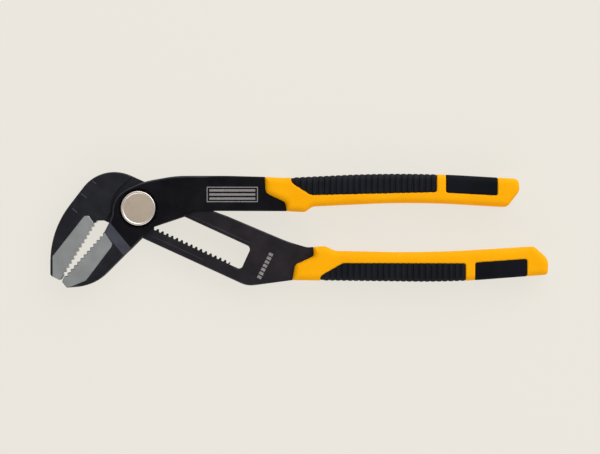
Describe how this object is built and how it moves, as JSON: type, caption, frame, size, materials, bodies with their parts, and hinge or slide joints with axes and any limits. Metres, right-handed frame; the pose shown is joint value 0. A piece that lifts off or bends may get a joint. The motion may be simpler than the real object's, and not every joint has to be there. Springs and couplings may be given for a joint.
{
  "type": "tongue and groove pliers",
  "caption": "Push-button tongue and groove pliers: toothed jaws, box joint sliding in a rack-toothed slot, and two ribbed two-colour grips.",
  "frame": {"origin": "on the pivot axis, in the plane the pliers rest on, with the jaws closed and the pivot in the narrowest place of the slot", "axes": "+X towards the handle ends, +Y towards the upper handle, +Z out of the front, where the push button is"},
  "size_m": [0.2491, 0.0579, 0.0164],
  "materials": {
    "coated_forging": "satin",
    "turned_steel": "satin",
    "satin_nickel": "satin",
    "spring_wire": "gloss",
    "yellow_grip": "matte",
    "black_pad": "matte"
  },
  "bodies": {
    "slotted_lever": {"slotted_lever": "coated_forging", "lower_grip_sleeve": "yellow_grip", "lower_ribbed_pad": "black_pad", "lower_end_pad": "black_pad"},
    "pivot": {"pivot_sleeve": "turned_steel", "thrust_washer": "turned_steel", "sleeve_retaining_ring": "spring_wire", "return_spring": "spring_wire"},
    "box_lever": {"box_lever": "coated_forging", "upper_grip_sleeve": "yellow_grip", "upper_ribbed_pad": "black_pad", "upper_end_pad": "black_pad"},
    "lock": {"push_button": "satin_nickel", "lock_plunger": "turned_steel", "plunger_clip": "spring_wire"}
  },
  "joints": [
    {"name": "slot_adjust", "type": "slide", "parent": "slotted_lever", "child": "pivot", "axis": [0.9092, -0.4163, 0], "range_m": [0, 0.0318]},
    {"name": "jaw_pivot", "type": "hinge", "parent": "pivot", "child": "box_lever", "pos_m": [0, 0, 0.0075], "axis": [0, 0, 1], "range_deg": [0, 40]},
    {"name": "button_press", "type": "slide", "parent": "pivot", "child": "lock", "axis": [0, 0, -1], "range_m": [0, 0.002], "stiffness_N_per_m": 1500, "springref_m": -0.003, "deforming": ["return_spring"]}
  ]
}
